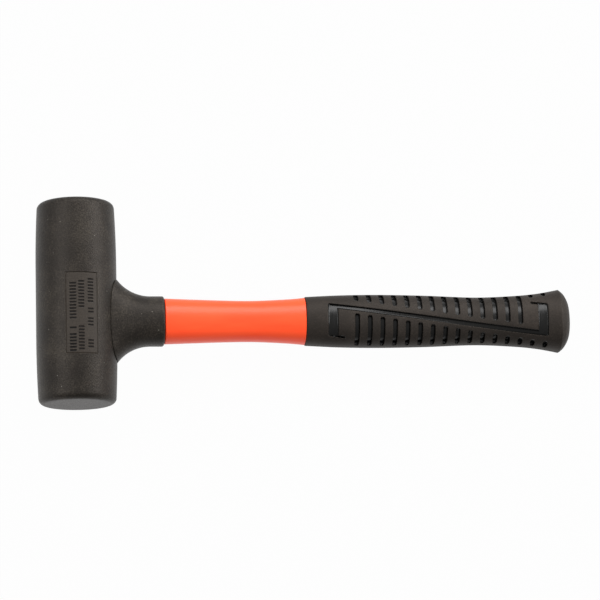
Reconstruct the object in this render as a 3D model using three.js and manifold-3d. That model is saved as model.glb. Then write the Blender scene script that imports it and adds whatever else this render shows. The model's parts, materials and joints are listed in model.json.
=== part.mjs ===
// A dead blow mallet of about 1 kg, lying on its side on a bench.
//
// Drawn in the mallet's own axes and turned at the end to the way it rests: +X runs along the handle
// from the head to the butt, +Y along the head's striking axis and +Z up, square to both. x = 0 is the
// head's axis, y = 0 and z = 0 the handle's. All sizes are in millimetres.
import * as THREE from 'three';
import { mergeVertices } from 'three/addons/utils/BufferGeometryUtils.js';
import Module from 'manifold-3d';

const wasm = await Module();
wasm.setup();

// ---- driving dimensions ----------------------------------------------------------------------

const GAP = 0.3; // clearance between touching solids
const OVERRUN = 1; // how far a cutter runs past the face it opens
const STEP_RUN = 0.01; // length of the ring of surface at a step in an outline

// Head: a cast barrel with a neck that takes the handle.
const HEAD_LENGTH = 135;
const HEAD_CENTRE_Y = 12; // the neck leaves the head this far from the head's middle
const HEAD_RADIUS = 26.6; // at the belly
const HEAD_END_RADIUS = 25.6; // where the rim's rounding starts
const BELLY_HALF_LENGTH = 24; // the belly is straight this far each way, then draws in
const RIM_RADIUS = 4;
const NECK_HALF_HEIGHT = 16.6;
const NECK_HALF_DEPTH = 14;
const NECK_ROOT_DEPTH = 16; // its half depth grows to this inside the barrel
const NECK_ROOT_X = 22.9; // the flare starts here, inside the barrel
const NECK_STRAIGHT_X = 48.6; // the flare ends here and the neck runs straight
const NECK_FLARE_RADIUS = 27;
const NECK_ROOT_RUN = 30; // the depth's growth takes this much of the length
const NECK_END_X = 57.5;
const NECK_CHAMFER = 1.3;

// Canister: a closed steel tube cast into the head, with steel shot in it.
const CANISTER_RADIUS = 20;
const CANISTER_WALL = 2;
const CANISTER_LENGTH = 112;
const CAP_THICKNESS = 2;
const CAP_SPIGOT = 4;
const CAP_EDGE = 0.6; // bevel round the cap's outer edge
const SPIGOT_BEVEL = 1;
const SHOT_RADIUS = 5.8;
const SHOT_PITCH = 12; // between the centres of neighbouring balls
const SHOT_LAYERS = 6;
const SHOT_IN_RING = 6;

// Socket: a steel boss on the canister's side that grips the core rod with a cross pin.
const SOCKET_RADIUS = 9;
const SOCKET_END_X = 44;
const PIN_RADIUS = 2;
const PIN_X = 34;
const PIN_INSET = 0.8; // each end of the pin stops this short of the boss's side

// Handle: a core rod in a moulded jacket, with a rubber grip over the jacket's far end.
const ROD_RADIUS = 6;
const ROD_START_X = 21.5;
const ROD_END_X = 306;
const SPIGOT = { h: 12, c: 10 }; // half height and half depth of the jacket inside the neck
const TONGUE = { h: 12.2, c: 9.2 }; // and inside the grip
const TONGUE_END_X = 312;
const GRIP_START_X = 151.6;
const GRIP_CORNER_X = 323.5; // the sharp edge round the butt
const GRIP_END_X = 330.4;

// Half heights of the jacket and of the grip along the handle, each a smooth line through its points.
const JACKET_LINE = [
  [NECK_END_X + GAP, 15.1], [84, 14.2], [108, 13.6], [122, 13.75], [141, 14.7], [GRIP_START_X - GAP, 15.65],
];
const GRIP_LINE = [
  [GRIP_START_X, 16.2], [175, 17.3], [201, 17.65], [232, 17.15], [266, 15.95], [292, 16.9],
  [309, 18.5], [GRIP_CORNER_X, 21.1],
];
const BUTT_LINE = [[326.6, 18.2], [329.2, 13.6], [GRIP_END_X, 8.6]]; // rounds over to the flat butt face
const JACKET_DEPTH = 0.85; // half depth over half height
const GRIP_DEPTH = 0.82;
const OVAL = 2.35; // superellipse power of the oval sections, 2 being an ellipse

// Grip pattern on each side, seen along Z: two rows of slots either side of a Z-shaped groove.
const SLOT_COUNT = 16;
const SLOT_START_X = 185.3;
const SLOT_PITCH = 8.48;
const SLOT_WIDTH = 2.8;
const SHORTEST_SLOT = SLOT_WIDTH + 0.1;
const SLOT_DEPTH = 2.6;
const SLOT_REACH = 0.97; // share of the half height that a slot's outer end reaches
const SPINE = 3; // half thickness of the rubber left between the slots of the two sides
const LOWER_ROW = { y: 2.5, slope: -0.1415 }; // upper ends of the lower row's slots
const UPPER_ROW = { y: 11.7, slope: -0.145 }; // lower ends of the upper row's slots
const UPPER_ROW_LAST = 13; // the slots after this one stop above the groove's tail
const SHORT_SLOT_Y = 15.5;

// The groove is a band with a recess at each end and a short tail on each recess. It is drawn upright
// about its own middle and then leans over by its slope.
const GROOVE_DEPTH = 1.5;
const GROOVE_MIDDLE = { x: 240.1, y: -1.2 };
const GROOVE_SLOPE = -0.131;
const GROOVE_HALF_LENGTH = 74;
const BAND_WIDTH = 2.75;
const RECESS_WIDTH = 6.4;
const RECESS_LENGTH = 21.6;
const TAIL_WIDTH = 1;
const TAIL_LENGTH = 4.8;
const GROOVE_CORNER = 1.2;

// Facet counts.
const ROUND = 36;
const ROD_SIDES = 24;
const PIN_SIDES = 16;
const OVAL_SIDES = 24;
const FLOOR_SIDES = 16; // the floors of the slots and of the groove are coarser than the surface
const JACKET_STEPS = 12;
const GRIP_STEPS = 14;
const FLOOR_STEPS = 6;
const ARC_STEPS = 2;

// ---- from three.js geometry to a manifold solid and back -------------------------------------

function solidOf(geometry) {
  const bare = geometry.clone();
  bare.deleteAttribute('normal');
  bare.deleteAttribute('uv');
  const merged = mergeVertices(bare, 1e-4);
  return new wasm.Manifold(new wasm.Mesh({
    numProp: 3,
    vertProperties: new Float32Array(merged.getAttribute('position').array),
    triVerts: new Uint32Array(merged.index.array),
  }));
}

function geometryOf(solid) {
  const { vertProperties, triVerts } = solid.getMesh();
  const geometry = new THREE.BufferGeometry();
  geometry.setAttribute('position', new THREE.BufferAttribute(new Float32Array(vertProperties), 3));
  geometry.setIndex(new THREE.BufferAttribute(new Uint32Array(triVerts), 1));
  geometry.computeVertexNormals();
  return geometry;
}

function joined(solids) {
  return solids.reduce((whole, solid) => whole.add(solid));
}

// ---- shapes ----------------------------------------------------------------------------------

// A solid of revolution about Y from [radius, y] pairs, which run upwards.
function turned(outline, sides = ROUND) {
  return new THREE.LatheGeometry(outline.map(([r, y]) => new THREE.Vector2(r, y)), sides);
}

function rodAlongY(radius, from, to, sides = ROUND) {
  return turned([[0, from], [radius, from], [radius, to], [0, to]], sides);
}

// The same, lying along X from one x to another.
function rodAlongX(radius, from, to, sides = ROUND) {
  return rodAlongY(radius, from, to, sides).rotateZ(-Math.PI / 2);
}

// A closed body whose section at each station x is an oval of half height h and half depth c.
function ovalBody(stations, sides = OVAL_SIDES) {
  const points = [];
  const faces = [];
  for (const { x, h, c } of stations) {
    for (let i = 0; i < sides; i++) {
      const angle = (i / sides) * 2 * Math.PI;
      const round = (t) => Math.sign(t) * Math.abs(t) ** (2 / OVAL);
      points.push(x, h * round(Math.cos(angle)), c * round(Math.sin(angle)));
    }
  }
  const last = stations.length - 1;
  const firstHub = stations.length * sides;
  points.push(stations[0].x, 0, 0, stations[last].x, 0, 0);
  for (let i = 0; i < sides; i++) {
    const next = (i + 1) % sides;
    for (let k = 0; k < last; k++) {
      const [a, b] = [k * sides + i, k * sides + next];
      faces.push(a, b, a + sides, b, b + sides, a + sides);
    }
    faces.push(firstHub, next, i);
    faces.push(firstHub + 1, last * sides + i, last * sides + next);
  }
  const body = new THREE.BufferGeometry();
  body.setAttribute('position', new THREE.Float32BufferAttribute(points, 3));
  body.setIndex(faces);
  return body;
}

function splineStations(line, divisions, depth, inset = 0) {
  const spline = new THREE.SplineCurve(line.map(([x, h]) => new THREE.Vector2(x, h)));
  return spline.getPoints(divisions).map(({ x, y: h }) => ({ x, h: h - inset, c: h * depth - inset }));
}

// A cutter over a flat outline in the X-Y plane, from the grip's spine up and out of the surface.
function cutter(shape) {
  const options = { depth: 2 * HEAD_RADIUS, bevelEnabled: false, curveSegments: ARC_STEPS };
  return solidOf(new THREE.ExtrudeGeometry(shape, options).translate(0, 0, SPINE));
}

// ---- head ------------------------------------------------------------------------------------

function barrelOutline() {
  const half = HEAD_LENGTH / 2;
  const straight = half - RIM_RADIUS;
  const taper = [0, 0.33, 0.67, 1].map((t) => [
    HEAD_RADIUS - (HEAD_RADIUS - HEAD_END_RADIUS) * t ** 2,
    BELLY_HALF_LENGTH + t * (straight - BELLY_HALF_LENGTH),
  ]);
  const rim = [1, 2, 3].map((i) => {
    const angle = (i / 3) * (Math.PI / 2);
    return [
      HEAD_END_RADIUS - RIM_RADIUS * (1 - Math.cos(angle)),
      straight + RIM_RADIUS * Math.sin(angle),
    ];
  });
  const upper = [...taper, ...rim, [0, half]];
  const lower = upper.map(([r, y]) => [r, -y]).reverse();
  return [...lower, ...upper];
}

// The neck is drawn from the head's axis out, so that it meets the barrel all round.
function neckStations() {
  const flare = [0, 0.2, 0.4, 0.6, 0.8, 1].map((t) => {
    const x = NECK_ROOT_X + t * (NECK_STRAIGHT_X - NECK_ROOT_X);
    const run = NECK_STRAIGHT_X - x;
    const rise = NECK_FLARE_RADIUS - Math.sqrt(NECK_FLARE_RADIUS ** 2 - run ** 2);
    const growth = THREE.MathUtils.smoothstep(run, 0, NECK_ROOT_RUN);
    const c = NECK_HALF_DEPTH + growth * (NECK_ROOT_DEPTH - NECK_HALF_DEPTH);
    return { x, h: NECK_HALF_HEIGHT + rise, c };
  });
  const root = { ...flare[0], x: 0 };
  return [
    root,
    ...flare,
    { x: NECK_END_X - NECK_CHAMFER, h: NECK_HALF_HEIGHT, c: NECK_HALF_DEPTH },
    { x: NECK_END_X, h: NECK_HALF_HEIGHT - NECK_CHAMFER, c: NECK_HALF_DEPTH - NECK_CHAMFER },
  ];
}

function canisterHalfLength() {
  return CANISTER_LENGTH / 2 + CAP_THICKNESS + GAP;
}

function headShell() {
  const barrel = solidOf(turned(barrelOutline()).translate(0, HEAD_CENTRE_Y, 0));
  const neck = solidOf(ovalBody(neckStations()));
  const reach = canisterHalfLength() + GAP;
  const canisterRoom = solidOf(
    rodAlongY(CANISTER_RADIUS + GAP, HEAD_CENTRE_Y - reach, HEAD_CENTRE_Y + reach),
  );
  const socketRoom = solidOf(rodAlongX(SOCKET_RADIUS + GAP, 0, SOCKET_END_X + GAP));
  const spigotRoom = solidOf(ovalBody([
    { x: SOCKET_END_X, h: SPIGOT.h + GAP, c: SPIGOT.c + GAP },
    { x: NECK_END_X + OVERRUN, h: SPIGOT.h + GAP, c: SPIGOT.c + GAP },
  ]));
  return geometryOf(barrel.add(neck).subtract(joined([canisterRoom, socketRoom, spigotRoom])));
}

// ---- canister, shot and socket ---------------------------------------------------------------

function canisterTube() {
  const half = CANISTER_LENGTH / 2;
  const bore = CANISTER_RADIUS - CANISTER_WALL;
  return turned([
    [bore, -half], [CANISTER_RADIUS, -half], [CANISTER_RADIUS, half], [bore, half], [bore, -half],
  ]).translate(0, HEAD_CENTRE_Y, 0);
}

// A pressed cap with a spigot that fits in the tube's end. side is 1 for the +Y end and -1 for the other.
function canisterCap(side) {
  const half = CANISTER_LENGTH / 2;
  const spigot = CANISTER_RADIUS - CANISTER_WALL - GAP;
  const flange = half + GAP;
  const end = flange + CAP_THICKNESS;
  const cap = turned([
    [0, half - CAP_SPIGOT],
    [spigot - SPIGOT_BEVEL, half - CAP_SPIGOT],
    [spigot, half - CAP_SPIGOT + SPIGOT_BEVEL],
    [spigot, flange],
    [CANISTER_RADIUS, flange],
    [CANISTER_RADIUS, end - CAP_EDGE],
    [CANISTER_RADIUS - CAP_EDGE, end],
    [0, end],
  ]);
  return cap.rotateZ(side > 0 ? 0 : Math.PI).translate(0, HEAD_CENTRE_Y, 0);
}

// The balls' centres: layers of one ball with a ring round it, every other layer turned half a step.
function shotCentres() {
  const centres = [];
  for (let layer = 0; layer < SHOT_LAYERS; layer++) {
    const y = HEAD_CENTRE_Y + (layer - (SHOT_LAYERS - 1) / 2) * SHOT_PITCH;
    centres.push(new THREE.Vector3(0, y, 0));
    for (let i = 0; i < SHOT_IN_RING; i++) {
      const angle = ((i + (layer % 2) / 2) / SHOT_IN_RING) * 2 * Math.PI;
      centres.push(new THREE.Vector3(SHOT_PITCH * Math.cos(angle), y, SHOT_PITCH * Math.sin(angle)));
    }
  }
  return centres;
}

// The cross pin lies along Z. Its hole is the same shape, a gap wider and long enough to cut right through.
function crossPin(radius, length) {
  return new THREE.CylinderGeometry(radius, radius, length, PIN_SIDES)
    .rotateX(Math.PI / 2).translate(PIN_X, 0, 0);
}

function pinHole() {
  return solidOf(crossPin(PIN_RADIUS + GAP, 4 * SOCKET_RADIUS));
}

function handleSocket() {
  const boss = solidOf(rodAlongX(SOCKET_RADIUS, 0, SOCKET_END_X));
  const bore = solidOf(rodAlongX(ROD_RADIUS + GAP, -OVERRUN, SOCKET_END_X + OVERRUN));
  const saddle = solidOf(rodAlongY(CANISTER_RADIUS + GAP, -2 * SOCKET_RADIUS, 2 * SOCKET_RADIUS));
  return geometryOf(boss.subtract(joined([bore, saddle, pinHole()])));
}

function socketPin() {
  return crossPin(PIN_RADIUS, 2 * (SOCKET_RADIUS - PIN_INSET));
}

// ---- handle ----------------------------------------------------------------------------------

function coreRod() {
  const rod = solidOf(rodAlongX(ROD_RADIUS, ROD_START_X, ROD_END_X, ROD_SIDES));
  return geometryOf(rod.subtract(pinHole()));
}

function handleJacket() {
  const outside = [
    { x: SOCKET_END_X + 2 * GAP, ...SPIGOT },
    { x: NECK_END_X + GAP - STEP_RUN, ...SPIGOT },
    ...splineStations(JACKET_LINE, JACKET_STEPS, JACKET_DEPTH),
    { x: GRIP_START_X - GAP + STEP_RUN, ...TONGUE },
    { x: TONGUE_END_X, ...TONGUE },
  ];
  const bore = rodAlongX(ROD_RADIUS + GAP, SOCKET_END_X - OVERRUN, ROD_END_X + GAP, ROD_SIDES);
  return geometryOf(solidOf(ovalBody(outside)).subtract(solidOf(bore)));
}

function gripStations() {
  const butt = BUTT_LINE.map(([x, h]) => ({ x, h, c: h * GRIP_DEPTH }));
  return [...splineStations(GRIP_LINE, GRIP_STEPS, GRIP_DEPTH), ...butt];
}

// What is left of the grip below a given depth: its outline drawn in by that much.
function gripBelow(depth) {
  return solidOf(ovalBody(splineStations(GRIP_LINE, FLOOR_STEPS, GRIP_DEPTH, depth), FLOOR_SIDES));
}

function halfHeightAt(x) {
  const stations = gripStations();
  const next = stations.findIndex((station) => station.x >= x);
  const [a, b] = [stations[next - 1], stations[next]];
  return a.h + ((b.h - a.h) * (x - a.x)) / (b.x - a.x);
}

// A slot's outline: straight sides with half round ends, between two heights.
function slotShape(x, low, high) {
  const r = SLOT_WIDTH / 2;
  const top = Math.max(high, low + SHORTEST_SLOT);
  const shape = new THREE.Shape();
  shape.absarc(x, top - r, r, 0, Math.PI);
  shape.absarc(x, low + r, r, Math.PI, 2 * Math.PI);
  return shape;
}

function slotShapes() {
  const shapes = [];
  for (let k = 0; k < SLOT_COUNT; k++) {
    const x = SLOT_START_X + k * SLOT_PITCH;
    const run = k * SLOT_PITCH;
    const edge = SLOT_REACH * halfHeightAt(x);
    const upper = k > UPPER_ROW_LAST ? SHORT_SLOT_Y : UPPER_ROW.y + UPPER_ROW.slope * run;
    shapes.push(slotShape(x, -edge, LOWER_ROW.y + LOWER_ROW.slope * run));
    shapes.push(slotShape(x, Math.min(upper, edge - SHORTEST_SLOT), edge));
  }
  return shapes;
}

// The half of the upright groove nearest the head: a recess, its tail and half of the band, which runs a
// little past the middle so that the two halves join.
function halfGrooveShape() {
  const outer = -GROOVE_HALF_LENGTH;
  const inner = outer + RECESS_WIDTH;
  const top = BAND_WIDTH / 2;
  const bottom = top - RECESS_LENGTH;
  const shape = new THREE.Shape();
  shape.moveTo(outer + GROOVE_CORNER, top);
  shape.lineTo(OVERRUN, top);
  shape.lineTo(OVERRUN, -top);
  shape.lineTo(inner, -top);
  shape.lineTo(inner, bottom + TAIL_WIDTH);
  shape.lineTo(inner + TAIL_LENGTH, bottom + TAIL_WIDTH);
  shape.lineTo(inner + TAIL_LENGTH, bottom);
  shape.lineTo(outer + GROOVE_CORNER, bottom);
  shape.absarc(outer + GROOVE_CORNER, bottom + GROOVE_CORNER, GROOVE_CORNER, -Math.PI / 2, -Math.PI, true);
  shape.absarc(outer + GROOVE_CORNER, top - GROOVE_CORNER, GROOVE_CORNER, Math.PI, Math.PI / 2, true);
  return shape;
}

// Both halves, the second turned half round about the middle. The matrix is written column by column.
function grooveCut() {
  const half = cutter(halfGrooveShape());
  const upright = half.add(half.rotate([0, 0, 180]));
  return upright.transform([
    1, GROOVE_SLOPE, 0, 0,
    0, 1, 0, 0,
    0, 0, 1, 0,
    GROOVE_MIDDLE.x, GROOVE_MIDDLE.y, 0, 1,
  ]);
}

function grip() {
  const outside = solidOf(ovalBody(gripStations()));
  const slots = joined(slotShapes().map((shape) => cutter(shape)))
    .subtract(gripBelow(SLOT_DEPTH));
  const groove = grooveCut().subtract(gripBelow(GROOVE_DEPTH));
  const front = slots.add(groove);
  const back = front.rotate([180, 0, 0]);
  const room = solidOf(ovalBody([
    { x: GRIP_START_X - OVERRUN, h: TONGUE.h + GAP, c: TONGUE.c + GAP },
    { x: TONGUE_END_X + GAP, h: TONGUE.h + GAP, c: TONGUE.c + GAP },
  ]));
  return geometryOf(outside.subtract(joined([front, back, room])));
}

// ---- materials -------------------------------------------------------------------------------

function material(color, roughness, metalness) {
  return new THREE.MeshStandardMaterial({ color, roughness, metalness });
}

const castPolyurethane = material(0x33322f, 0.55, 0);
const orangeNylon = material(0xf4511e, 0.4, 0);
const gripRubber = material(0x2c2a27, 0.7, 0);
const drawnSteel = material(0x9a9c9e, 0.35, 1);
const hardenedSteel = material(0xb4b6b8, 0.2, 1);
const glassFibre = material(0xd9cf9a, 0.5, 0);

// ---- assembly --------------------------------------------------------------------------------

const mallet = new THREE.Group();

function add(name, geometry, finish) {
  const mesh = new THREE.Mesh(geometry, finish);
  mesh.name = name;
  mallet.add(mesh);
  return mesh;
}

add('head_shell', headShell(), castPolyurethane);
add('canister_tube', canisterTube(), drawnSteel);
add('canister_cap_top', canisterCap(1), drawnSteel);
add('canister_cap_bottom', canisterCap(-1), drawnSteel);
add('handle_socket', handleSocket(), drawnSteel);
add('socket_pin', socketPin(), hardenedSteel);
add('core_rod', coreRod(), glassFibre);
add('handle_jacket', handleJacket(), orangeNylon);
add('grip', grip(), gripRubber);

shotCentres().forEach((centre, i) => {
  const ball = add(`shot_${String(i + 1).padStart(2, '0')}`,
    new THREE.IcosahedronGeometry(SHOT_RADIUS, 1), hardenedSteel);
  ball.position.copy(centre);
});

// At rest the head's side and the butt's edge both touch the bench, so the handle slopes down a little.
const buttDepth = GRIP_LINE.at(-1)[1] * GRIP_DEPTH;
const slope = Math.asin(HEAD_RADIUS / Math.hypot(GRIP_CORNER_X, buttDepth))
  - Math.atan(buttDepth / GRIP_CORNER_X);
mallet.rotation.y = slope;
mallet.updateMatrixWorld(true);

// The frame's origin is on the bench, under the middle of the box round the whole mallet.
const box = new THREE.Box3().setFromObject(mallet, true);
const middle = box.getCenter(new THREE.Vector3());
mallet.position.set(-middle.x, -middle.y, -box.min.z);

const part = new THREE.Group();
part.add(mallet);

export default part;
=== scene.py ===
"""The looks of a dead blow mallet that lies on its side.

Everything on the mallet is drawn in millimetres in its own axes, as the CAD is: x runs along the handle
from the head to the butt, y along the head's striking axis and z up, square to both, with the handle's
axis at y = z = 0 and the head's at x = 0. place() turns that into metres in the row frame, where the
handle slopes down a little to the bench.
"""

import json
import math

import bpy
import numpy as np
from mathutils import Matrix, Vector


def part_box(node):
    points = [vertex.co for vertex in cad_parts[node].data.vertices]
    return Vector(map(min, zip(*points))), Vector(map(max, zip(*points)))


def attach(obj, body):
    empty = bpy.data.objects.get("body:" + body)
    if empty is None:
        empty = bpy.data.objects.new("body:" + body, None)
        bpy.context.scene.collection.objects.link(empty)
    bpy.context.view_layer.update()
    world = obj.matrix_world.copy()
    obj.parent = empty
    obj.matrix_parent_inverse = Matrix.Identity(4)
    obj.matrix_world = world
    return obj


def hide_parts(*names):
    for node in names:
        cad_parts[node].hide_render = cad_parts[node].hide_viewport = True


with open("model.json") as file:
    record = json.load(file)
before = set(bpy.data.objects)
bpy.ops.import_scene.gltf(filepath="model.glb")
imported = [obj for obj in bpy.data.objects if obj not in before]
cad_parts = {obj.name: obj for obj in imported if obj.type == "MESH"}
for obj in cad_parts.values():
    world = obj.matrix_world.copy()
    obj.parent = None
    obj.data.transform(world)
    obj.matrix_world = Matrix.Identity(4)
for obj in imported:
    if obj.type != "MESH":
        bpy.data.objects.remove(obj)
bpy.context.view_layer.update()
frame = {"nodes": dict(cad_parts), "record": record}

MM = 0.001
BODY = "mallet"
CHARGE = "shot_charge"


# ---- the mallet's own axes, from the mounts ---------------------------------------------------


def mount(name):
    """The mount of this name in the part's record."""
    return next(m for m in frame["record"]["mounts"] if m["name"] == name)


UPPER_FACE = mount("upper_striking_face")["pos_m"]
LOWER_FACE = mount("lower_striking_face")["pos_m"]
BUTT_FACE = mount("butt_face")
SLOPE = math.atan2(-BUTT_FACE["axis"][2], BUTT_FACE["axis"][0])
ORIGIN = Vector((UPPER_FACE[0], BUTT_FACE["pos_m"][1], UPPER_FACE[2]))
TURN = Matrix.Rotation(SLOPE, 3, "Y")


def place(points):
    """Points in mm in the mallet's axes, as metres in the row frame."""
    return np.asarray(points) * MM @ np.array(TURN.transposed()) + np.array(ORIGIN)


# ---- sizes, in mm ----------------------------------------------------------------------------
# Heights are along y and depths along z, so that the mallet is measured as it is seen from above.

HEAD_LENGTH = (UPPER_FACE[1] - LOWER_FACE[1]) / MM
HEAD_CENTRE_Y = (UPPER_FACE[1] + LOWER_FACE[1]) / 2 / MM - ORIGIN.y / MM
HEAD_RADIUS = UPPER_FACE[2] / MM  # the head lies on the bench
HEAD_END_RADIUS = HEAD_RADIUS - 1  # where the rim's rounding starts
BELLY_HALF_LENGTH = 24  # the belly is straight this far each way, then draws in
RIM_RADIUS = 4

NECK_HALF_HEIGHT = 16.6
NECK_HALF_DEPTH = 14
NECK_ROOT_DEPTH = 16  # its half depth grows to this inside the barrel
NECK_STRAIGHT_X = 48.6  # the flare ends here and the neck runs straight
NECK_FLARE_RADIUS = 27
NECK_ROOT_RUN = 30  # the depth's growth takes this much of the length
NECK_END_X = 57.5
NECK_CHAMFER = 1.3
LIP = 0.5  # the neck stands this far proud where it meets the barrel

# The label plate, a shallow recess on the barrel's upper side with plain strokes engraved in it.
PLATE_X = (-8.8, 12.3)
PLATE_Y = (-26, 28.1)
PLATE_CORNER = 0.3
PLATE_DEPTH = 0.15
PLATE_FRAME = 0.5  # width of the deeper line round the plate
FRAME_DEPTH = 0.35
PLATE_WALL_RUN = 0.3  # how far the walls of the plate and its strokes reach, seen from above
STROKE_PITCH = 2.1
STROKE_WIDTH = 0.95
STROKE_DEPTH = 0.4
# The plate's strokes: each column's x, the strokes' length, and its runs as first y and count.
STROKE_ROWS = [
    (-4, 4.4, [(-24, 6), (-9, 1), (-2.5, 12)]),
    (1.5, 3.8, [(-23, 8), (5, 9)]),
    (7.6, 3.6, [(-21.5, 3), (-7, 3), (1.6, 2), (8.6, 8)]),
]

# Half heights of the jacket and of the grip along the handle, as (x, half height).
JACKET_LINE = [(57.8, 15.1), (84, 14.2), (108, 13.6), (122, 13.75), (141, 14.7), (151.3, 15.65)]
GRIP_LINE = [
    (151.6, 16.2), (175, 17.3), (201, 17.65), (232, 17.15), (266, 15.95), (292, 16.9),
    (309, 18.5), (323.5, 21.1),
]
BUTT_LINE = [(326.6, 18.2), (329.2, 13.6), (330.4, 8.6)]  # rounds over to the flat butt face
JACKET_DEPTH = 0.85  # half depth over half height
GRIP_DEPTH = 0.82
OVAL = 2.35  # superellipse power of the oval sections, 2 being an ellipse
SPIGOT = (12, 10)  # half height and half depth of the jacket inside the neck
SPIGOT_START_X = 45
TONGUE = (12.2, 9.2)  # and inside the grip
TONGUE_END_X = 312
JACKET_BEVELS = (0.4, 0.3)  # at its end by the neck and at its end by the grip
STEP_RUN = 0.02  # length of the ring of surface at a step in an outline
MOUTH_RADIUS = 0.6  # the rounding round the grip's open end

# The grip's pattern on each side: two rows of slots either side of a Z-shaped groove, which is a band
# with a recess at each end and a short tail on each recess.
SLOT_COUNT = 16
SLOT_START_X = 185.3
SLOT_PITCH = 8.48
SLOT_WIDTH = 2.8
SHORTEST_SLOT = SLOT_WIDTH + 0.1
SLOT_DEPTH = 2.6
SLOT_REACH = 0.97  # share of the half height that a slot's outer end reaches
SPINE = 3  # half thickness of the rubber left between the slots of the two sides
LOWER_ROW = (2.5, -0.1415)  # the upper ends of the lower row's slots: y and slope
UPPER_ROW = (11.7, -0.145)  # the lower ends of the upper row's slots
UPPER_ROW_LAST = 13  # the slots after this one stop above the groove's tail
SHORT_SLOT_Y = 15.5
GROOVE_DEPTH = 1.5
GROOVE_MIDDLE = (240.1, -1.2)
GROOVE_SLOPE = -0.131  # the groove is drawn upright, then leans over by this
GROOVE_HALF_LENGTH = 74
GROOVE_LEFT_X = GROOVE_MIDDLE[0] - GROOVE_HALF_LENGTH
GROOVE_RIGHT_X = GROOVE_MIDDLE[0] + GROOVE_HALF_LENGTH
BAND_WIDTH = 2.75
RECESS_WIDTH = 6.4
RECESS_LENGTH = 21.6
TAIL_WIDTH = 1
TAIL_LENGTH = 4.8
GROOVE_CORNER = 1.2
GROOVE_OVERLAP = 2  # the tail and the band start this far inside the recess
HALVES_OVERLAP = 1  # and the band's halves run this far past the middle
WALL_RUN = 0.6  # how far a slot's wall and its two roundings reach, seen from above
GROOVE_WALL_RUN = 0.95  # and the groove's wall
SEAM_HEIGHT = 0.15  # the ridge where the two halves of a mould met
SEAM_WIDTH = 0.45
CREASE = 35  # edges sharper than this many degrees stay sharp


# ---- nodes -----------------------------------------------------------------------------------


def linear(code):
    """An sRGB hex colour as linear RGBA."""
    parts = [int(code[i : i + 2], 16) / 255 for i in (1, 3, 5)]
    turned = [c / 12.92 if c <= 0.04045 else ((c + 0.055) / 1.055) ** 2.4 for c in parts]
    return (*turned, 1)


def node(tree, kind, settings=None, **inputs):
    """Adds a node. settings are its own fields, and each input is a value or another node's output."""
    made = tree.nodes.new(kind)
    for key, value in (settings or {}).items():
        setattr(made, key, value)
    for key, value in inputs.items():
        socket = made.inputs[int(key[1:])] if key[0] == "i" and key[1:].isdigit() else made.inputs[key]
        if isinstance(value, bpy.types.NodeSocket):
            tree.links.new(value, socket)
        else:
            socket.default_value = value
    return made


def ramp(tree, source, stops):
    """A colour ramp over a 0 to 1 value, from (position, hex colour) stops."""
    made = node(tree, "ShaderNodeValToRGB", Fac=source)
    elements = made.color_ramp.elements
    while len(elements) < len(stops):
        elements.new(0.5)
    for element, (position, code) in zip(elements, stops):
        element.position = position
        element.color = linear(code)
    return made.outputs["Color"]


def spread(tree, source, low, high):
    """Maps a 0 to 1 value to low to high."""
    made = node(tree, "ShaderNodeMapRange", Value=source, **{"To Min": low, "To Max": high})
    return made.outputs["Result"]


def shader(name, **values):
    """A material with one Principled shader, and the plain values of the sockets that get no node."""
    made = bpy.data.materials.new(name)
    made.use_nodes = True
    tree = made.node_tree
    surface = tree.nodes["Principled BSDF"]
    for key, value in values.items():
        surface.inputs[key.replace("_", " ")].default_value = value
    return made, tree, surface.inputs


def grain(tree, millimetres, detail=2.0, roughness=0.5, stretch=(1, 1, 1)):
    """Noise whose blotches are about the given size, in the object's own space."""
    where = node(tree, "ShaderNodeTexCoord").outputs["Object"]
    size = node(tree, "ShaderNodeMapping", Vector=where, Scale=stretch).outputs["Vector"]
    scale = 1 / (millimetres * MM)
    made = node(tree, "ShaderNodeTexNoise", Vector=size, Scale=scale, Detail=detail, Roughness=roughness)
    return made.outputs["Fac"]


def specks(tree, spacing, size):
    """1 inside sparse round specks, 0 elsewhere. Sizes in millimetres."""
    where = node(tree, "ShaderNodeTexCoord").outputs["Object"]
    cells = node(tree, "ShaderNodeTexVoronoi", Vector=where, Scale=1 / (spacing * MM))
    inside = node(tree, "ShaderNodeMapRange", Value=cells.outputs["Distance"],
                  **{"From Min": size / spacing, "From Max": 0.5 * size / spacing})
    return inside.outputs["Result"]


def blend(tree, share, first, second):
    """A mix of two numbers, with the given share of the second."""
    return node(tree, "ShaderNodeMix", {"data_type": "FLOAT"}, i0=share, i2=first, i3=second).outputs[0]


def bump(tree, height, strength, millimetres):
    """A normal bent by a 0 to 1 height that stands for the given depth."""
    made = node(tree, "ShaderNodeBump", Height=height, Strength=strength, Distance=millimetres * MM)
    return made.outputs["Normal"]


# ---- materials -------------------------------------------------------------------------------

WARM_SHEEN = linear("#fff4ea")  # the rubbers' highlights are a little warm


def cast_polyurethane():
    """Cast polyurethane rubber: a satin black skin with the mould's fine sand grain and pale dust in it."""
    made, tree, inputs = shader("cast_polyurethane", Specular_IOR_Level=0.25, Specular_Tint=WARM_SHEEN)
    sand = grain(tree, 1.0, detail=4, roughness=0.7)
    cloud = grain(tree, 14, detail=2)
    tone = blend(tree, 0.3, sand, cloud)
    base = ramp(tree, tone, [(0.32, "#0d0b0a"), (0.5, "#1c1916"), (0.7, "#3d3831")])
    dust = specks(tree, 6, 0.3)
    colour = node(tree, "ShaderNodeMix", {"data_type": "RGBA"}, i0=dust, i6=base, i7=linear("#8d8a82"))
    tree.links.new(colour.outputs[2], inputs["Base Color"])
    tree.links.new(spread(tree, sand, 0.34, 0.5), inputs["Roughness"])
    tree.links.new(bump(tree, sand, 0.9, 0.22), inputs["Normal"])
    return made


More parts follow.
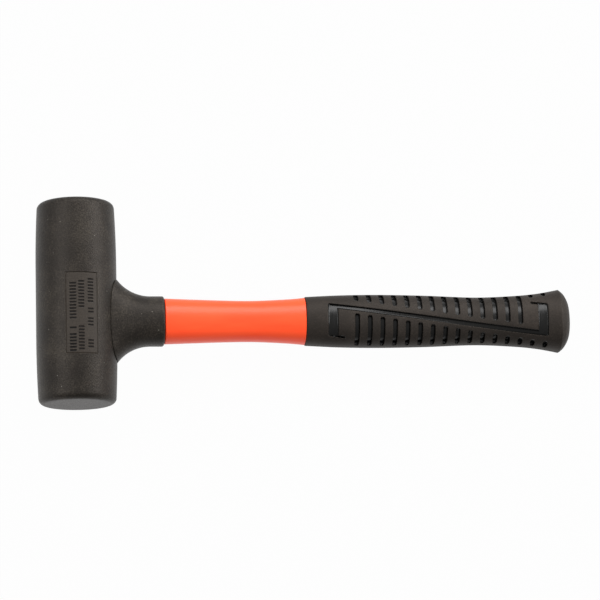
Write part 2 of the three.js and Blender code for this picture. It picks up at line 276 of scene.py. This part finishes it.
def grip_rubber():
    """Thermoplastic rubber moulded in a spark-eroded tool: matt, warm black, with a fine even grain."""
    made, tree, inputs = shader("grip_rubber", Specular_IOR_Level=0.25, Specular_Tint=WARM_SHEEN)
    tooth = grain(tree, 0.8, detail=4, roughness=0.7)
    cloud = grain(tree, 18, detail=2)
    tone = blend(tree, 0.35, tooth, cloud)
    base = ramp(tree, tone, [(0.32, "#15120f"), (0.5, "#201c19"), (0.7, "#342e29")])
    tree.links.new(base, inputs["Base Color"])
    tree.links.new(spread(tree, tooth, 0.45, 0.62), inputs["Roughness"])
    tree.links.new(bump(tree, tooth, 0.7, 0.16), inputs["Normal"])
    return made


def polished_rubber_painted_shade():
    """The same rubber where the tool was polished, in the slots and the groove: shinier, and darker by
    painted shade in its base colour.
    """
    made, tree, inputs = shader("polished_rubber_painted_shade", Specular_IOR_Level=0.36)
    smear = grain(tree, 1.4, detail=4, stretch=(1, 0.15, 1))
    # the base colour, far darker than the grip's, is painted shade in the recesses; the lower roughness is
    # the real polish
    tree.links.new(ramp(tree, smear, [(0.3, "#060605"), (0.7, "#0c0b0a")]), inputs["Base Color"])
    tree.links.new(spread(tree, smear, 0.1, 0.42), inputs["Roughness"])
    tree.links.new(bump(tree, smear, 0.5, 0.08), inputs["Normal"])
    return made


def orange_nylon():
    """Glass-filled nylon, moulded and dyed through: a satin gloss with long faint flow marks."""
    made, tree, inputs = shader("orange_nylon", IOR=1.53, Specular_IOR_Level=0.35)
    flow = grain(tree, 9, detail=3, stretch=(0.2, 1, 1))
    peel = grain(tree, 1.6, detail=2)
    base = ramp(tree, flow, [(0.3, "#ff4a20"), (0.7, "#ff5427")])
    tree.links.new(base, inputs["Base Color"])
    tree.links.new(spread(tree, flow, 0.28, 0.38), inputs["Roughness"])
    tree.links.new(bump(tree, peel, 0.3, 0.05), inputs["Normal"])
    return made


def label_plate():
    """The label plate's skin, cast against a blasted insert: a little paler and duller than the rest."""
    made, tree, inputs = shader("label_plate", Roughness=0.6, Specular_IOR_Level=0.25)
    sand = grain(tree, 0.7, detail=4, roughness=0.65)
    tree.links.new(ramp(tree, sand, [(0.3, "#241f1a"), (0.7, "#3b342d")]), inputs["Base Color"])
    tree.links.new(bump(tree, sand, 0.5, 0.1), inputs["Normal"])
    return made


def label_ink():
    """Dull black paint wiped into the engraving."""
    made, tree, inputs = shader("label_ink", Roughness=0.7, Specular_IOR_Level=0.2)
    base = ramp(tree, grain(tree, 0.8, detail=3), [(0.3, "#080706"), (0.7, "#120f0d")])
    tree.links.new(base, inputs["Base Color"])
    return made


def drawn_steel():
    """Cold-drawn steel: grey, with fine lines along the draw and a soft sheen."""
    made, tree, inputs = shader("drawn_steel", Metallic=1.0)
    lines = grain(tree, 0.5, detail=3, stretch=(1, 0.03, 1))
    tree.links.new(ramp(tree, lines, [(0.3, "#8e9092"), (0.7, "#b4b6b8")]), inputs["Base Color"])
    tree.links.new(spread(tree, lines, 0.28, 0.45), inputs["Roughness"])
    tree.links.new(bump(tree, lines, 0.3, 0.02), inputs["Normal"])
    return made


def hardened_steel():
    """Tumbled steel shot: bright, with scuffs from knocking together."""
    made, tree, inputs = shader("hardened_steel", Metallic=1.0)
    scuffs = grain(tree, 1.5, detail=4)
    tree.links.new(ramp(tree, scuffs, [(0.35, "#8f9193"), (0.6, "#c4c6c8")]), inputs["Base Color"])
    tree.links.new(spread(tree, scuffs, 0.18, 0.4), inputs["Roughness"])
    return made


def glass_fibre():
    """Pultruded glass fibre in resin: straw coloured, with the fibres' fine streaks along it."""
    made, tree, inputs = shader("glass_fibre", Roughness=0.35, IOR=1.55)
    fibres = grain(tree, 0.4, detail=3, stretch=(0.02, 1, 1))
    tree.links.new(ramp(tree, fibres, [(0.3, "#b8a35c"), (0.7, "#e2d49a")]), inputs["Base Color"])
    tree.links.new(bump(tree, fibres, 0.4, 0.03), inputs["Normal"])
    return made


def opal_acrylic():
    """A light table's opal sheet: an even white glow that takes next to no shadow."""
    made, _, inputs = shader("opal_acrylic", Roughness=0.9, Specular_IOR_Level=0, Emission_Strength=0.98)
    inputs["Base Color"].default_value = linear("#101010")
    inputs["Emission Color"].default_value = linear("#ffffff")
    return made


# ---- meshes ----------------------------------------------------------------------------------


def piece(name, points, faces, materials, replaced, body=BODY, crease=CREASE, kinds=None):
    """A closed mesh from points in mm, smooth except at edges sharper than crease degrees.

    kinds picks each face's material: it turns the faces' middles, in mm, into places in materials.
    """
    mesh = bpy.data.meshes.new(name)
    mesh.from_pydata([tuple(p) for p in place(points)], [], faces)
    if kinds:
        middles = np.array([points[list(face)].mean(axis=0) for face in faces])
        mesh.polygons.foreach_set("material_index", kinds(middles).astype(np.int32))
    mesh.polygons.foreach_set("use_smooth", [True] * len(mesh.polygons))
    mesh.set_sharp_from_angle(angle=math.radians(crease))
    for material in materials:
        mesh.materials.append(material)
    made = bpy.data.objects.new(name, mesh)
    bpy.context.scene.collection.objects.link(made)
    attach(made, body)
    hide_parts(*replaced)
    return made


def ring_faces(rows, columns):
    """Quads between rows of points that each close on themselves, with a fan at each end."""
    faces = []
    for r in range(rows - 1):
        for c in range(columns):
            d = (c + 1) % columns
            faces.append((r * columns + c, r * columns + d, (r + 1) * columns + d, (r + 1) * columns + c))
    first, last = rows * columns, rows * columns + 1
    for c in range(columns):
        d = (c + 1) % columns
        faces.append((first, d, c))
        faces.append((last, (rows - 1) * columns + c, (rows - 1) * columns + d))
    return faces


def with_hubs(rings):
    """The points of all rings, then the middles of the first and the last ring."""
    hubs = [rings[0].mean(axis=0), rings[-1].mean(axis=0)]
    return np.concatenate([rings.reshape(-1, 3), hubs])


def section(x, y, z):
    """A ring of points at x, which is one number or one for each point."""
    return np.stack([np.full(len(y), x, float), y, z], -1)


def oval(h, c, angle):
    """The point at an angle on an oval of half height h and half depth c."""
    y = h * np.sign(np.cos(angle)) * np.abs(np.cos(angle)) ** (2 / OVAL)
    z = c * np.sign(np.sin(angle)) * np.abs(np.sin(angle)) ** (2 / OVAL)
    return y, z


def spline(line, count=400):
    """A Catmull-Rom curve through the points, as an array of x and one of the other value."""
    points = np.array(line, float)
    t = np.linspace(0, len(points) - 1, count)
    i = np.minimum(t.astype(int), len(points) - 2)
    w = (t - i)[:, None]
    p0 = points[np.maximum(i - 1, 0)]
    p0[i == 0] = points[0]
    p1, p2 = points[i], points[i + 1]
    p3 = points[np.minimum(i + 2, len(points) - 1)]
    v0, v1 = (p2 - p0) / 2, (p3 - p1) / 2
    curve = (2 * p1 - 2 * p2 + v0 + v1) * w**3 + (-3 * p1 + 3 * p2 - 2 * v0 - v1) * w**2 + v0 * w + p1
    return curve[:, 0], curve[:, 1]


def smooth_step(t):
    """0 up to t = 0 and 1 from t = 1 on, with a rounded rise between them."""
    t = np.clip(t, 0, 1)
    return t * t * t * (t * (6 * t - 15) + 10)


def stretches(stops):
    """Values from the first stop to the last, each (value, steps to it from the one before)."""
    values = [stops[0][0]]
    for (start, _), (end, steps) in zip(stops, stops[1:]):
        values += list(np.linspace(start, end, steps + 1)[1:])
    return np.array(values)


def seam(distance):
    """The height of the mould seam at a distance from the parting plane."""
    return SEAM_HEIGHT * np.exp(-((distance / SEAM_WIDTH) ** 2))


# ---- head ------------------------------------------------------------------------------------

FAN_SHARES = (0.3, 0.6, 0.85)  # rings across a flat end, as shares of its radius
RIM_STEPS = 8
PLATE_MARGIN = 1  # the fine rows and columns go this far past the plate
ROWS = (22, 187, 36)  # below the plate, over it and above it
COLUMNS = (76, 130)  # over the plate and over the rest of the barrel


def barrel_radius(y):
    """The barrel's radius at y: straight round the belly, then drawn in towards the rims."""
    past = np.maximum(np.abs(y - HEAD_CENTRE_Y) - BELLY_HALF_LENGTH, 0)
    share = past / (HEAD_LENGTH / 2 - RIM_RADIUS - BELLY_HALF_LENGTH)
    return HEAD_RADIUS - (HEAD_RADIUS - HEAD_END_RADIUS) * share**2


def end_rings(side):
    """The (radius, y) of one end's rings, from its middle out over the rim. side is 1 at +y and -1 at -y."""
    flat = HEAD_END_RADIUS - RIM_RADIUS
    rings = [(share * flat, HEAD_LENGTH / 2) for share in FAN_SHARES]
    for a in np.linspace(math.pi / 2, 0, RIM_STEPS):
        drop = RIM_RADIUS * (1 - math.sin(a))
        rings.append((flat + RIM_RADIUS * math.cos(a), HEAD_LENGTH / 2 - drop))
    return [(radius, HEAD_CENTRE_Y + side * y) for radius, y in rings]


def barrel():
    """The barrel, with finer rows and columns over the label plate."""
    bottom = HEAD_CENTRE_Y - HEAD_LENGTH / 2 + RIM_RADIUS
    top = HEAD_CENTRE_Y + HEAD_LENGTH / 2 - RIM_RADIUS
    low, high = PLATE_Y[0] - PLATE_MARGIN, PLATE_Y[1] + PLATE_MARGIN
    ys = stretches([(bottom, 0), (low, ROWS[0]), (high, ROWS[1]), (top, ROWS[2])])
    left = math.asin((PLATE_X[0] - PLATE_MARGIN) / HEAD_RADIUS)
    right = math.asin((PLATE_X[1] + PLATE_MARGIN) / HEAD_RADIUS)
    angles = stretches([(left, 0), (right, COLUMNS[0]), (2 * math.pi + left, COLUMNS[1])])[:-1]
    rings = end_rings(-1) + [(barrel_radius(y), y) for y in ys[1:-1]] + end_rings(1)[::-1]
    radius = np.array([r for r, _ in rings])[:, None]
    y = np.array([h for _, h in rings])[:, None] + 0 * angles
    x = radius * np.sin(angles)
    z = radius * np.cos(angles)
    inside = plate_depth(x, y) * (z > 0)
    on_side = radius > HEAD_END_RADIUS - 1  # the seam stops on the rim
    swell = 1 - inside / HEAD_RADIUS + seam(z) / HEAD_RADIUS * on_side
    return np.stack([x * swell, y, z * swell], -1)


def box_distance(x, y, x_span, y_span, corner=0.0):
    """How far points are outside a rectangle with rounded corners, negative inside."""
    half_x = (x_span[1] - x_span[0]) / 2 - corner
    half_y = (y_span[1] - y_span[0]) / 2 - corner
    dx = np.abs(x - sum(x_span) / 2) - half_x
    dy = np.abs(y - sum(y_span) / 2) - half_y
    outside = np.hypot(np.maximum(dx, 0), np.maximum(dy, 0))
    return outside + np.minimum(np.maximum(dx, dy), 0) - corner


def plate_distance(x, y):
    """How far points are outside the label plate, negative inside."""
    return box_distance(x, y, PLATE_X, PLATE_Y, PLATE_CORNER)


def stroke_distance(x, y):
    """How far points are outside the nearest of the plate's engraved strokes."""
    nearest = np.full(np.shape(x), np.inf)
    for column, length, runs in STROKE_ROWS:
        for start, count in runs:
            k = np.clip(np.round((y - start) / STROKE_PITCH), 0, count - 1)
            across = np.abs(y - start - k * STROKE_PITCH) - STROKE_WIDTH / 2
            along = np.abs(x - column) - length / 2
            nearest = np.minimum(nearest, np.maximum(across, along))
    return nearest


def plate_depth(x, y):
    """The depth of the label plate's recess, with a deeper line round its edge and engraved strokes."""
    away = plate_distance(x, y)
    in_line = PLATE_FRAME / 2 - np.abs(away + PLATE_FRAME / 2)
    recess = PLATE_DEPTH * smooth_step(-away / PLATE_WALL_RUN + 0.5)
    line = FRAME_DEPTH * smooth_step(in_line / PLATE_WALL_RUN + 0.5)
    strokes = STROKE_DEPTH * smooth_step(-stroke_distance(x, y) / PLATE_WALL_RUN + 0.5)
    return recess + line + strokes


def head_kinds(middles):
    """0 on the casting, 1 in the engraved strokes and 2 on the plate round them."""
    x, y, z = middles.T
    on_plate = (plate_distance(x, y) < 0) & (z > 0)
    in_stroke = on_plate & (stroke_distance(x, y) < 0)
    return np.where(in_stroke, 1, np.where(on_plate, 2, 0))


NECK_COLUMNS = 160
NECK_FAN = (0.4, 0.8)  # rings across the neck's end face, as shares of its size
NECK_ROWS = 60
ROUNDING_STEPS = 6
ROOT = np.array([0, 0.8, 0.6])  # factors on x, y and z that end the neck inside the barrel, on its axis
MEETING_STEPS = 30


def neck():
    """The neck from its end face back to the barrel, whose surface it meets with a low rounded lip."""
    angles = np.linspace(0, 2 * math.pi, NECK_COLUMNS, endpoint=False)
    y, z = oval(NECK_HALF_HEIGHT, NECK_HALF_DEPTH, angles)
    rings = [section(NECK_END_X, y * share, z * share) for share in NECK_FAN]
    for a in np.linspace(0, math.pi / 2, ROUNDING_STEPS):
        drop = NECK_CHAMFER * (1 - math.sin(a))
        y, z = oval(NECK_HALF_HEIGHT - drop, NECK_HALF_DEPTH - drop, angles)
        rings.append(section(NECK_END_X - NECK_CHAMFER * (1 - math.cos(a)), y, z))
    for t in np.linspace(0, 1, NECK_ROWS)[1:]:
        rings.append(neck_ring(t, angles))
    lip = rings[-1]
    outward = section(0, lip[:, 1], lip[:, 2])
    outward /= np.linalg.norm(outward, axis=1)[:, None]
    for a in np.linspace(0, math.pi / 2, ROUNDING_STEPS)[1:]:
        sunk = lip - outward * LIP * (1 - math.cos(a))
        sunk[:, 0] -= LIP * math.sin(a)
        rings.append(sunk)
    rings.append(rings[-1] * ROOT)
    return np.stack(rings)[::-1]


def neck_size(x):
    """Half height and half depth of the neck at x."""
    run = np.maximum(NECK_STRAIGHT_X - x, 0)
    h = NECK_HALF_HEIGHT + NECK_FLARE_RADIUS - np.sqrt(np.maximum(NECK_FLARE_RADIUS**2 - run**2, 0))
    c = NECK_HALF_DEPTH + (NECK_ROOT_DEPTH - NECK_HALF_DEPTH) * smooth_step(run / NECK_ROOT_RUN)
    return h, c


def neck_ring(t, angles):
    """The neck's section a share t of the way from its end to the barrel.

    Where the neck meets the barrel depends on its size there, so x closes in on that step by step.
    """
    x = np.full(len(angles), float(HEAD_RADIUS))
    for _ in range(MEETING_STEPS):
        y, z = oval(*neck_size(x), angles)
        radius = barrel_radius(y) + LIP
        x = 0.5 * x + 0.5 * np.sqrt(np.maximum(radius**2 - z**2, 1))
    start = NECK_END_X - NECK_CHAMFER
    here = start + t * (x - start)
    return section(here, *oval(*neck_size(here), angles))


def joined_head(material, ink, plate):
    """The barrel and the neck as one casting."""
    rings = barrel()[:, ::-1]  # turned about, so that the faces look outwards
    body = piece("head_casting", with_hubs(rings), ring_faces(*rings.shape[:2]),
                 [material, ink, plate], ["head_shell"], kinds=head_kinds)
    rings = neck()
    tool = piece("neck_tool", with_hubs(rings), ring_faces(*rings.shape[:2]), [material],
                 ["head_shell"])
    union = body.modifiers.new("neck", "BOOLEAN")
    union.operation = "UNION"
    union.solver = "EXACT"
    union.object = tool
    graph = bpy.context.evaluated_depsgraph_get()
    mesh = bpy.data.meshes.new_from_object(body.evaluated_get(graph))
    body.modifiers.clear()
    body.data = mesh
    mesh.set_sharp_from_angle(angle=math.radians(CREASE))
    bpy.data.objects.remove(tool)
    return body


# ---- handle ----------------------------------------------------------------------------------

JACKET_COLUMNS = 120
JACKET_ROWS = 150


def jacket(material):
    """The orange jacket, from inside the neck to inside the grip."""
    angles = np.linspace(0, 2 * math.pi, JACKET_COLUMNS, endpoint=False)
    xs, hs = spline(JACKET_LINE, JACKET_ROWS)
    hs[0] -= JACKET_BEVELS[0]
    hs[-1] -= JACKET_BEVELS[1]
    sizes = [(SPIGOT_START_X, *SPIGOT), (xs[0] - STEP_RUN, *SPIGOT)]
    sizes += [(x, h, h * JACKET_DEPTH) for x, h in zip(xs, hs)]
    sizes += [(xs[-1] + STEP_RUN, *TONGUE), (TONGUE_END_X, *TONGUE)]
    rings = []
    for x, h, c in sizes:
        y, z = oval(h, c, angles)
        rings.append(section(x, y + np.sign(y) * seam(z), z))
    rings = np.stack(rings)
    return piece("moulded_jacket", with_hubs(rings), ring_faces(*rings.shape[:2]), [material],
                 ["handle_jacket"])


def slot_distance(x, y, h):
    """How far points are outside the nearest slot. h is the grip's half height at x."""
    k = np.clip(np.round((x - SLOT_START_X) / SLOT_PITCH), 0, SLOT_COUNT - 1)
    centre = SLOT_START_X + k * SLOT_PITCH
    run = k * SLOT_PITCH
    edge = SLOT_REACH * h
    r = SLOT_WIDTH / 2
    lower_top = LOWER_ROW[0] + LOWER_ROW[1] * run
    upper_low = np.where(k > UPPER_ROW_LAST, SHORT_SLOT_Y, UPPER_ROW[0] + UPPER_ROW[1] * run)
    upper_low = np.minimum(upper_low, edge - SHORTEST_SLOT)
    lower = np.hypot(x - centre, y - np.clip(y, -edge + r, lower_top - r)) - r
    upper = np.hypot(x - centre, y - np.clip(y, upper_low + r, edge - r)) - r
    return np.minimum(lower, upper)


def half_groove_distance(x, y):
    """How far points are outside the half of the upright groove nearest the head."""
    outer = -GROOVE_HALF_LENGTH
    inner = outer + RECESS_WIDTH
    top = BAND_WIDTH / 2
    bottom = top - RECESS_LENGTH
    recess = box_distance(x, y, (outer, inner), (bottom, top), GROOVE_CORNER)
    start = inner - GROOVE_OVERLAP
    tail = box_distance(x, y, (start, inner + TAIL_LENGTH), (bottom, bottom + TAIL_WIDTH), TAIL_WIDTH / 2)
    band = box_distance(x, y, (start, HALVES_OVERLAP), (-top, top))
    return np.minimum(np.minimum(recess, tail), band)


def groove_distance(x, y):
    """The groove is drawn upright about its own middle, then leans over by its slope."""
    x = x - GROOVE_MIDDLE[0]
    y = y - GROOVE_MIDDLE[1] - GROOVE_SLOPE * x
    return np.minimum(half_groove_distance(x, y), half_groove_distance(-x, -y))


def band_y(x):
    """The height of the middle of the groove's band at x."""
    run = np.clip(x - GROOVE_MIDDLE[0], -GROOVE_HALF_LENGTH, GROOVE_HALF_LENGTH)
    return GROOVE_MIDDLE[1] + GROOVE_SLOPE * run


# Round the grip, the points lie closest along the band, then in a zone round it, then out to the rims.
BAND_EDGE = BAND_WIDTH / 2 + 0.25  # from the band's middle to just past its wall
ZONE = 6.5  # half height of the zone round the band
HIGH_ZONE = 9  # past a zone that ends above this, the rim starts halfway to the edge
RIM_Y = 10  # and past any other zone it starts here


def grip_angles(x, h):
    """The angles of one side's points at x, gathered along the groove and the slots' ends."""
    middle = band_y(x)

    def angle(y):
        return math.acos(max(-1, min(1, math.copysign(abs(y / h) ** (OVAL / 2), y))))

    upper_zone = min(middle + ZONE, (middle + BAND_EDGE + h) / 2)
    lower_zone = max(middle - ZONE, (middle - BAND_EDGE - h) / 2)
    upper_rim = (upper_zone + h) / 2 if upper_zone > HIGH_ZONE else RIM_Y
    lower_rim = (lower_zone - h) / 2 if lower_zone < -HIGH_ZONE else -RIM_Y
    return stretches([
        (0, 0), (angle(upper_rim), 24), (angle(upper_zone), 16), (angle(middle + BAND_EDGE), 22),
        (angle(middle - BAND_EDGE), 10), (angle(lower_zone), 22), (angle(lower_rim), 16), (math.pi, 24),
    ])


# The rows of points along the grip.
MOUTH_ROWS = 15
MOUTH_STEP = 0.9
RECESS_STEP = 0.7
BUTT_STEP = 0.8
BETWEEN_SLOTS = (0.9, 1.9, 2.9, 3.9)  # from a slot's right side
SLOT_FLOOR = (-0.45, 0.45)  # from a slot's middle
WALL_ROWS = (-WALL_RUN / 2, -WALL_RUN / 5, WALL_RUN / 5, WALL_RUN / 2)  # from the middle of a wall
RECESS_INSET = (0.8, 0.4)  # the recess's own rows keep this far from its left and its right side
CLOSEST_ROWS = 0.12


def grip_columns():
    """The x of each row of points, gathered at the walls of the slots and recesses."""
    r = SLOT_WIDTH / 2
    start, end = GRIP_LINE[0][0], GRIP_LINE[-1][0]
    right_recess = GROOVE_RIGHT_X - RECESS_WIDTH
    walls = [GROOVE_LEFT_X, GROOVE_LEFT_X + RECESS_WIDTH, right_recess, GROOVE_RIGHT_X]
    xs = [start + MOUTH_RADIUS + MOUTH_STEP * i for i in range(MOUTH_ROWS)]
    for k in range(SLOT_COUNT):
        centre = SLOT_START_X + k * SLOT_PITCH
        walls += [centre - r, centre + r]
        xs += [centre + away for away in SLOT_FLOOR]
        xs += [centre + r + away for away in BETWEEN_SLOTS]
    xs += [wall + away for wall in walls for away in WALL_ROWS]
    xs += list(np.arange(GROOVE_LEFT_X + RECESS_INSET[0], SLOT_START_X - r - WALL_RUN, RECESS_STEP))
    xs += list(np.arange(right_recess + RECESS_INSET[0], GROOVE_RIGHT_X - RECESS_INSET[1], RECESS_STEP))
    xs += list(np.arange(GROOVE_RIGHT_X + 1, end - 1, BUTT_STEP))
    xs = np.sort(np.array(xs))
    keep = np.concatenate([[True], np.diff(xs) > CLOSEST_ROWS])
    return xs[keep]


def inner_height(y, h, c, depth):
    """The height of the grip's section drawn in by depth, at y, or its spine beyond it."""
    inside = np.clip(1 - np.abs(y / (h - depth)) ** OVAL, 0, 1)
    return np.maximum((c - depth) * inside ** (1 / OVAL), SPINE)


def pressed(x, y, z, h, c):
    """The height of the front surface with the slots and the groove pressed in."""
    slot = smooth_step(-slot_distance(x, y, h) / WALL_RUN + 0.5)
    groove = smooth_step(-groove_distance(x, y) / GROOVE_WALL_RUN + 0.5)
    slot_floor = np.minimum(inner_height(y, h, c, SLOT_DEPTH), z)
    groove_floor = np.minimum(inner_height(y, h, c, GROOVE_DEPTH), z)
    return np.minimum(z + (slot_floor - z) * slot, z + (groove_floor - z) * groove)


def grip_ring(x, h, cut=True):
    """One closed section of the grip. The back is the front turned half round about the handle."""
    c = h * GRIP_DEPTH
    y, z = oval(h, c, grip_angles(x, h))
    if cut:
        z = pressed(np.full(len(y), x), y, z, h, c)
    y = np.concatenate([y, -y[1:-1]])
    z = np.concatenate([z, -z[1:-1]])
    return section(x, y + np.sign(y) * seam(z), z)


def grip_kinds(middles):
    """0 on the grained surface, 1 on the smooth walls and floors of the slots and the groove, which carry
    painted shade.
    """
    x, y, z = middles.T
    y = np.where(z > 0, y, -y)
    line_x, line_h = spline(GRIP_LINE)
    h = np.interp(x, line_x, line_h)
    away = np.minimum(slot_distance(x, y, h), groove_distance(x, y))
    return (away < WALL_RUN / 4) & (np.abs(y) < SLOT_REACH * h)


MOUTH_STEPS = 5
BUTT_ROWS = 24
CORNER_INSET = 0.2  # the butt's rounding starts this far before the sharp edge
BUTT_FAN = (0.8, 0.5, 0.25)  # rings across the butt face, as shares of its size
GRIP_CREASE = 60


def grip(material, painted_shade_floor_material):
    """The rubber grip with its slots and groove, rounded at its mouth and closed at the butt."""
    line_x, line_h = spline(GRIP_LINE)
    mouth_x, mouth_h = GRIP_LINE[0]
    corner_x, corner_h = GRIP_LINE[-1]
    end_x, end_h = BUTT_LINE[-1]
    rings = []
    for a in np.linspace(0, math.pi / 2, MOUTH_STEPS)[:-1]:
        x = mouth_x + MOUTH_RADIUS * (1 - math.cos(a))
        rings.append(grip_ring(x, mouth_h - MOUTH_RADIUS * (1 - math.sin(a)), cut=False))
    for x in grip_columns():
        rings.append(grip_ring(x, np.interp(x, line_x, line_h)))
    for x, h in zip(*spline([(corner_x - CORNER_INSET, corner_h), *BUTT_LINE], BUTT_ROWS)):
        rings.append(grip_ring(x, h, cut=False))
    for share in BUTT_FAN:
        rings.append(grip_ring(end_x, end_h * share, cut=False))
    rings = np.stack(rings)
    return piece("slotted_grip", with_hubs(rings), ring_faces(*rings.shape[:2]), [material, painted_shade_floor_material],
                 ["grip"], crease=GRIP_CREASE, kinds=grip_kinds)


# ---- inside ----------------------------------------------------------------------------------

DENTS = 7
DENT_DEPTH = 0.02  # as a share of the ball's radius
DENT_EDGE = 0.94  # cosine of the angle from a dent's middle to its edge
DENT_RUN = 0.05  # and how much further the cosine goes to the dent's full depth


def shot_ball(node_name, material, seed):
    """A steel ball with the shallow dents that shot gets from knocking together."""
    low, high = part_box(node_name)
    centre = (Vector(low) + Vector(high)) / 2
    radius = (high[2] - low[2]) / 2
    bpy.ops.mesh.primitive_ico_sphere_add(subdivisions=4, radius=radius)
    made = bpy.context.object
    made.name = node_name.replace("shot", "shot_ball")
    made.data.name = made.name
    places = np.empty(len(made.data.vertices) * 3)
    made.data.vertices.foreach_get("co", places)
    places = places.reshape(-1, 3)
    chance = np.random.default_rng(seed)
    for _ in range(DENTS):
        spot = chance.normal(size=3)
        spot /= np.linalg.norm(spot)
        near = places @ spot / radius
        places *= 1 - DENT_DEPTH * smooth_step((near - DENT_EDGE) / DENT_RUN)[:, None]
    made.data.vertices.foreach_set("co", (places + np.array(centre)).ravel())
    made.data.polygons.foreach_set("use_smooth", [True] * len(made.data.polygons))
    made.data.materials.append(material)
    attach(made, CHARGE)
    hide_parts(node_name)


def finish_node(name, material):
    """Gives a carried-over CAD node its material."""
    mesh = frame["nodes"][name].data
    mesh.materials.clear()
    mesh.materials.append(material)


# ---- stage -----------------------------------------------------------------------------------

BENCH_SIZE = 6
ROOM_FRONT = 0.3  # the room's brightness low in front and low behind
ROOM_BACK = 0.8
SOFTBOXES = [
    ("softbox_right", (1.1, 0.45, 0.75), (0.9, 0.5), 13),
    ("softbox_left", (-1.05, 0.3, 0.95), (0.9, 0.5), 7),
    ("softbox_back", (0.1, 0.95, 1.05), (1.4, 0.7), 13),
]

VIEW_BACK = (-0.1323, -0.1969, 0.9714)  # from the mallet to the camera, in the mallet's axes
VIEW_DISTANCE = 2106
VIEW_TURN = -1.5  # degrees that the camera is rolled by
VIEW_CENTRE = (149, 14.6, 0)  # the point in the middle of the view
VIEW_WIDTH = 400  # what the view takes in at that point
SENSOR_WIDTH = 36


def bench():
    """The light table that the mallet lies on."""
    bpy.ops.mesh.primitive_plane_add(size=BENCH_SIZE)
    floor = bpy.context.object
    floor.name = "bench"
    floor.data.materials.append(opal_acrylic())


def softbox(name, position, size, watts):
    """A rectangular light that faces the middle of the bench. Positions and sizes in metres."""
    light = bpy.data.lights.new(name, "AREA")
    light.shape = "RECTANGLE"
    light.size, light.size_y = size
    light.energy = watts
    made = bpy.data.objects.new(name, light)
    made.location = position
    made.rotation_euler = (-Vector(position)).to_track_quat("-Z", "Y").to_euler()
    bpy.context.scene.collection.objects.link(made)


def studio():
    """A room that is brighter behind the mallet's upper side, and three softboxes."""
    world = bpy.data.worlds.new("studio")
    world.use_nodes = True
    tree = world.node_tree
    direction = node(tree, "ShaderNodeTexCoord").outputs["Generated"]
    toward_back = node(tree, "ShaderNodeSeparateXYZ", Vector=direction).outputs["Y"]
    strength = node(tree, "ShaderNodeMapRange", Value=toward_back,
                    **{"From Min": -1, "From Max": 1, "To Min": ROOM_FRONT, "To Max": ROOM_BACK})
    tree.links.new(strength.outputs["Result"], tree.nodes["Background"].inputs["Strength"])
    tree.nodes["Background"].inputs["Color"].default_value = linear("#ffffff")
    bpy.context.scene.world = world
    bpy.context.scene.view_settings.view_transform = "Standard"
    for name, position, size, watts in SOFTBOXES:
        softbox(name, position, size, watts)


def camera():
    """A long lens almost straight above the mallet."""
    lens = bpy.data.cameras.new("camera")
    lens.sensor_width = SENSOR_WIDTH
    lens.lens = SENSOR_WIDTH * VIEW_DISTANCE / VIEW_WIDTH
    made = bpy.data.objects.new("camera", lens)
    back = (TURN @ Vector(VIEW_BACK)).normalized()
    right = Vector((0, 1, 0)).cross(back).normalized()
    up = back.cross(right)
    turned = Matrix((right, up, back)).transposed() @ Matrix.Rotation(math.radians(VIEW_TURN), 3, "Z")
    centre = Vector(place(np.array(VIEW_CENTRE, float)))
    made.matrix_world = Matrix.Translation(centre + back * VIEW_DISTANCE * MM) @ turned.to_4x4()
    bpy.context.scene.collection.objects.link(made)
    bpy.context.scene.camera = made


# ---- the scene -------------------------------------------------------------------------------

joined_head(cast_polyurethane(), label_ink(), label_plate())
jacket(orange_nylon())
grip(grip_rubber(), polished_rubber_painted_shade())

steel = drawn_steel()
for name in ("canister_tube", "canister_cap_top", "canister_cap_bottom", "handle_socket"):
    finish_node(name, steel)
shot_steel = hardened_steel()
finish_node("socket_pin", shot_steel)
finish_node("core_rod", glass_fibre())
for i, name in enumerate(sorted(n for n in frame["nodes"] if n.startswith("shot_"))):
    shot_ball(name, shot_steel, seed=i)

bench()
studio()
camera()
